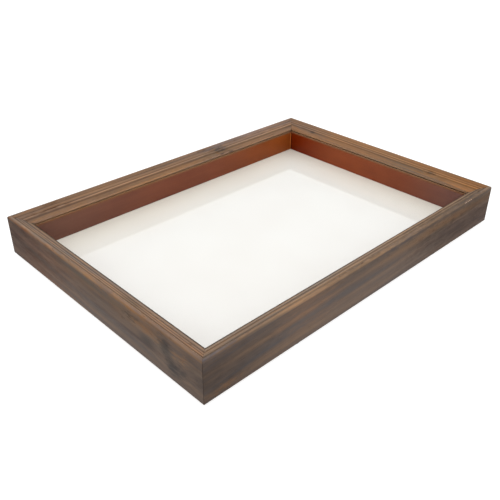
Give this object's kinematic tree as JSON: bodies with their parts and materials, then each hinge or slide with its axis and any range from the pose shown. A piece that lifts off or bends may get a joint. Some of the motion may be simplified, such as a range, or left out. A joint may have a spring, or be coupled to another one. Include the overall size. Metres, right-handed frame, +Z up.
{
  "type": "butterfly display case",
  "caption": "Shallow glazed wooden case for pinned butterflies: moulded rails mitred at the corners, glass, spacer liners and a pin board, closed behind by a back panel under turn buttons.",
  "frame": {"origin": "on the surface the case stands on, under the centre of the case", "axes": "+X along the long rails, +Y from the front rail to the rear rail that carries the hanger, +Z up through the glass"},
  "size_m": [0.442, 0.319, 0.0476],
  "materials": {
    "stained_wood": "walnut stain under a satin lacquer, grain along each rail",
    "liner_wood": "smooth red-brown stain, satin",
    "glass": "clear float glass with a ground edge",
    "white_board": "glossy white facing over pinning foam",
    "hardboard": "brown hardboard, smooth face out",
    "zinc_steel": "zinc plated",
    "screw_steel": "zinc plated",
    "hanger_brass": "brass-washed steel strip",
    "nail_steel": "bright steel",
    "clear_rubber": "clear soft polyurethane"
  },
  "bodies": {
    "case": {"front_rail": "stained_wood", "right_rail": "stained_wood", "rear_rail": "stained_wood", "left_rail": "stained_wood", "front_liner": "liner_wood", "right_liner": "liner_wood", "rear_liner": "liner_wood", "left_liner": "liner_wood", "glass_pane": "glass", "pin_board": "white_board", "back_panel": "hardboard", "button_screws": "screw_steel", "corner_v_nails": "nail_steel", "sawtooth_hanger": "hanger_brass", "hanger_nails": "nail_steel", "bumper_front_left": "clear_rubber", "bumper_front_right": "clear_rubber", "bumper_rear_left": "clear_rubber", "bumper_rear_right": "clear_rubber"},
    "turn_button_front_a": {"turn_button_front_a": "zinc_steel"},
    "turn_button_front_b": {"turn_button_front_b": "zinc_steel"},
    "turn_button_rear_a": {"turn_button_rear_a": "zinc_steel"},
    "turn_button_rear_b": {"turn_button_rear_b": "zinc_steel"},
    "turn_button_left": {"turn_button_left": "zinc_steel"},
    "turn_button_right": {"turn_button_right": "zinc_steel"}
  },
  "joints": [
    {"name": "front_a_button_pivot", "type": "hinge", "parent": "case", "child": "turn_button_front_a", "pos_m": [-0.11, -0.15425, 0.0021], "axis": [0, 0, 1], "continuous": true},
    {"name": "front_b_button_pivot", "type": "hinge", "parent": "case", "child": "turn_button_front_b", "pos_m": [0.11, -0.15425, 0.0021], "axis": [0, 0, 1], "continuous": true},
    {"name": "rear_a_button_pivot", "type": "hinge", "parent": "case", "child": "turn_button_rear_a", "pos_m": [0.11, 0.15425, 0.0021], "axis": [0, 0, 1], "continuous": true},
    {"name": "rear_b_button_pivot", "type": "hinge", "parent": "case", "child": "turn_button_rear_b", "pos_m": [-0.11, 0.15425, 0.0021], "axis": [0, 0, 1], "continuous": true},
    {"name": "left_button_pivot", "type": "hinge", "parent": "case", "child": "turn_button_left", "pos_m": [-0.21575, 0, 0.0021], "axis": [0, 0, 1], "continuous": true},
    {"name": "right_button_pivot", "type": "hinge", "parent": "case", "child": "turn_button_right", "pos_m": [0.21575, 0, 0.0021], "axis": [0, 0, 1], "continuous": true}
  ]
}
